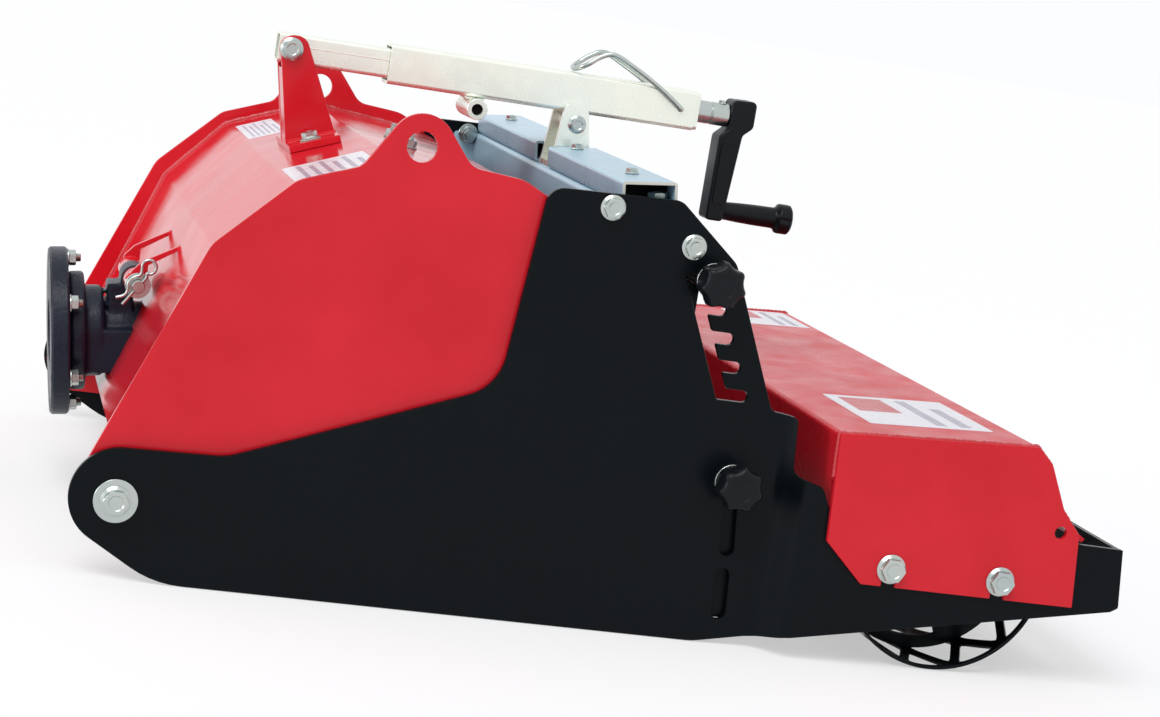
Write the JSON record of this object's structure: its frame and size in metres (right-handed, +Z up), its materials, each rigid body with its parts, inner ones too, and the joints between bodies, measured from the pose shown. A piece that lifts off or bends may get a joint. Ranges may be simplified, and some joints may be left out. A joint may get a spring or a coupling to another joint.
{
  "type": "stone burier",
  "caption": "Stone burier for a two-wheel tractor: hooded hoe rotor behind a gearbox flange, pitching side frame with crank jack, comb grid, levelling blade, rear cover and cage roller.",
  "frame": {"origin": "on the ground under the middle of the bounding box", "axes": "+X towards the rear of the machine, away from the tractor flange; +Y to its right side; +Z up. The lower edges of the black side plates and the cage roller stand on Z = 0."},
  "size_m": [0.955, 0.791, 0.4865],
  "materials": {
    "red_paint": "gloss",
    "black_paint": "satin",
    "grey_paint": "satin",
    "cast_iron_paint": "painted satin",
    "zinc_plate": "zinc plated",
    "bare_steel": "bare",
    "black_plastic": "matte"
  },
  "bodies": {
    "hood": {"hood_shell": "red_paint", "hood_side_left": "red_paint", "hood_side_right": "red_paint", "hood_ear_left": "red_paint", "hood_ear_right": "red_paint", "clevis_pin": "zinc_plate", "r_clip": "zinc_plate", "gearbox_casing": "cast_iron_paint", "pto_flange": "cast_iron_paint", "jack_tower": "red_paint", "tower_bolt": "zinc_plate", "rotor_bearing_left": "cast_iron_paint", "rotor_bearing_right": "cast_iron_paint", "pivot_bolt_left": "zinc_plate", "pivot_bolt_right": "zinc_plate"},
    "rotor": {"rotor_shaft": "bare_steel", "crown_gear": "bare_steel", "hoe_star_left_1": "bare_steel", "hoe_star_left_2": "bare_steel", "hoe_star_left_3": "bare_steel", "hoe_star_right_1": "bare_steel", "hoe_star_right_2": "bare_steel", "hoe_star_right_3": "bare_steel"},
    "input_drive": {"input_shaft": "bare_steel"},
    "jack_base": {"jack_inner_tube": "zinc_plate", "jack_nut": "bare_steel"},
    "jack_slider": {"jack_outer_tube": "zinc_plate", "jack_eye_front": "zinc_plate", "jack_eye_rear": "zinc_plate"},
    "crank": {"jack_screw": "bare_steel", "screw_collar": "zinc_plate", "crank_arm": "black_plastic"},
    "grip": {"crank_grip": "black_plastic"},
    "bail": {"jack_bail": "zinc_plate"},
    "frame": {"frame_plate_left": "black_paint", "frame_plate_right": "black_paint", "cross_beam": "grey_paint", "beam_tube_left": "grey_paint", "beam_tube_right": "grey_paint", "jack_clevis": "zinc_plate", "clevis_bolt": "zinc_plate", "rear_panel": "black_paint", "rear_cover": "red_paint", "cover_side_left": "red_paint", "cover_side_right": "red_paint", "cover_bolt_front_left": "zinc_plate", "cover_bolt_front_right": "zinc_plate", "cover_bolt_rear_left": "zinc_plate", "cover_bolt_rear_right": "zinc_plate"},
    "roller": {"roller_cage": "black_paint", "roller_shaft": "bare_steel", "roller_end_left": "black_paint", "roller_end_right": "black_paint"},
    "grid_carrier": {"grid_bar": "black_paint"},
    "grid": {"screen_grid": "black_paint"},
    "blade": {"levelling_blade": "black_paint"},
    "grid_knob_left": {"grid_knob_left": "black_plastic"},
    "grid_knob_right": {"grid_knob_right": "black_plastic"},
    "blade_knob_left": {"blade_knob_left": "black_plastic"},
    "blade_knob_right": {"blade_knob_right": "black_plastic"}
  },
  "joints": [
    {"name": "frame_pitch", "type": "hinge", "parent": "hood", "child": "frame", "pos_m": [-0.41225, 0, 0.067], "axis": [0, -1, 0], "range_deg": [-2, 7]},
    {"name": "jack_tilt", "type": "hinge", "parent": "hood", "child": "jack_base", "pos_m": [-0.28225, 0, 0.4425], "axis": [0, -1, 0], "range_deg": [-4, 12]},
    {"name": "jack_slide", "type": "slide", "parent": "jack_base", "child": "jack_slider", "axis": [1, 0, 0], "range_m": [-0.048, 0.015]},
    {"name": "crank_spin", "type": "hinge", "parent": "jack_slider", "child": "crank", "pos_m": [0.11875, 0, 0.4425], "axis": [1, 0, 0], "continuous": true},
    {"name": "grip_spin", "type": "hinge", "parent": "crank", "child": "grip", "pos_m": [0.16075, 0, 0.3495], "axis": [1, 0, 0], "continuous": true},
    {"name": "bail_flip", "type": "hinge", "parent": "jack_slider", "child": "bail", "pos_m": [0.09975, 0, 0.4425], "axis": [0, 1, 0], "range_deg": [0, 90]},
    {"name": "rotor_spin", "type": "hinge", "parent": "hood", "child": "rotor", "pos_m": [-0.20825, 0, 0.1819], "axis": [0, 1, 0], "continuous": true},
    {"name": "input_spin", "type": "hinge", "parent": "hood", "child": "input_drive", "pos_m": [-0.20825, 0, 0.1819], "axis": [0.9905, 0, 0.1374], "continuous": true},
    {"name": "roller_spin", "type": "hinge", "parent": "frame", "child": "roller", "pos_m": [0.31675, 0, 0.095], "axis": [0, 1, 0], "continuous": true},
    {"name": "grid_height", "type": "slide", "parent": "frame", "child": "grid_carrier", "axis": [0.4051, 0, -0.9143], "range_m": [0, 0.105]},
    {"name": "grid_swing", "type": "hinge", "parent": "grid_carrier", "child": "grid", "pos_m": [0.06375, 0, 0.316], "axis": [0, 1, 0], "range_deg": [0, 15]},
    {"name": "blade_height", "type": "slide", "parent": "frame", "child": "blade", "axis": [0.1045, 0, -0.9945], "range_m": [0, 0.058]},
    {"name": "grid_knob_left_spin", "type": "hinge", "parent": "grid_carrier", "child": "grid_knob_left", "pos_m": [0.06375, 0, 0.316], "axis": [0, -1, 0], "continuous": true},
    {"name": "grid_knob_right_spin", "type": "hinge", "parent": "grid_carrier", "child": "grid_knob_right", "pos_m": [0.06375, 0, 0.316], "axis": [0, 1, 0], "continuous": true},
    {"name": "blade_knob_left_spin", "type": "hinge", "parent": "blade", "child": "blade_knob_left", "pos_m": [0.11025, 0, 0.1435], "axis": [0, -1, 0], "continuous": true},
    {"name": "blade_knob_right_spin", "type": "hinge", "parent": "blade", "child": "blade_knob_right", "pos_m": [0.11025, 0, 0.1435], "axis": [0, 1, 0], "continuous": true}
  ],
  "couplings": [
    {"joint": "jack_tilt", "follows": "frame_pitch", "ratio": 1.5868},
    {"joint": "jack_slide", "follows": "frame_pitch", "m_per_rad": -0.3813},
    {"joint": "input_spin", "follows": "rotor_spin", "ratio": 2.1429}
  ]
}
